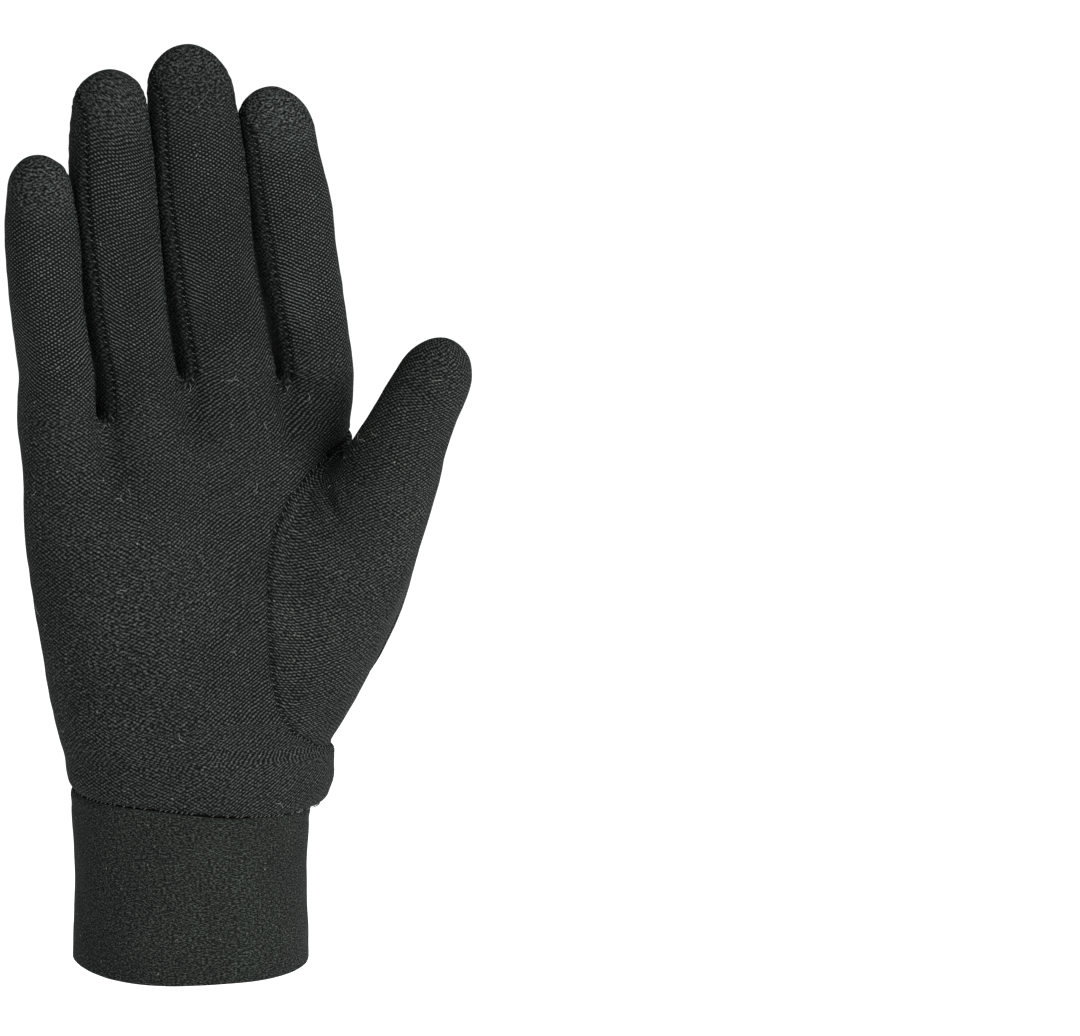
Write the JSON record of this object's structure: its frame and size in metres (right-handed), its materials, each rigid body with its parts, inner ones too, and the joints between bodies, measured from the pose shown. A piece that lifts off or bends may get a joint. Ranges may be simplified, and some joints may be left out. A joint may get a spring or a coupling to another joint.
{
  "type": "glove liner",
  "caption": "Thin knit glove liner for a right hand, with side strips between the fingers, a gusseted thumb and a close wrist cuff.",
  "frame": {"origin": "centre of the open bottom of the wrist cuff", "axes": "+Z from the cuff to the fingertips, the palm faces -Y, the thumb is on the +X side"},
  "size_m": [0.1045, 0.0708, 0.2321],
  "materials": {
    "hand_knit": "matte knit",
    "side_knit": "matte knit",
    "thumb_knit": "matte knit",
    "cuff_knit": "matte knit"
  },
  "bodies": {
    "root": {"palm_panel": "hand_knit", "back_panel": "hand_knit", "fourchette_little_ring": "side_knit", "fourchette_ring_middle": "side_knit", "fourchette_middle_index": "side_knit", "thumb": "thumb_knit", "cuff": "cuff_knit"}
  },
  "joints": []
}
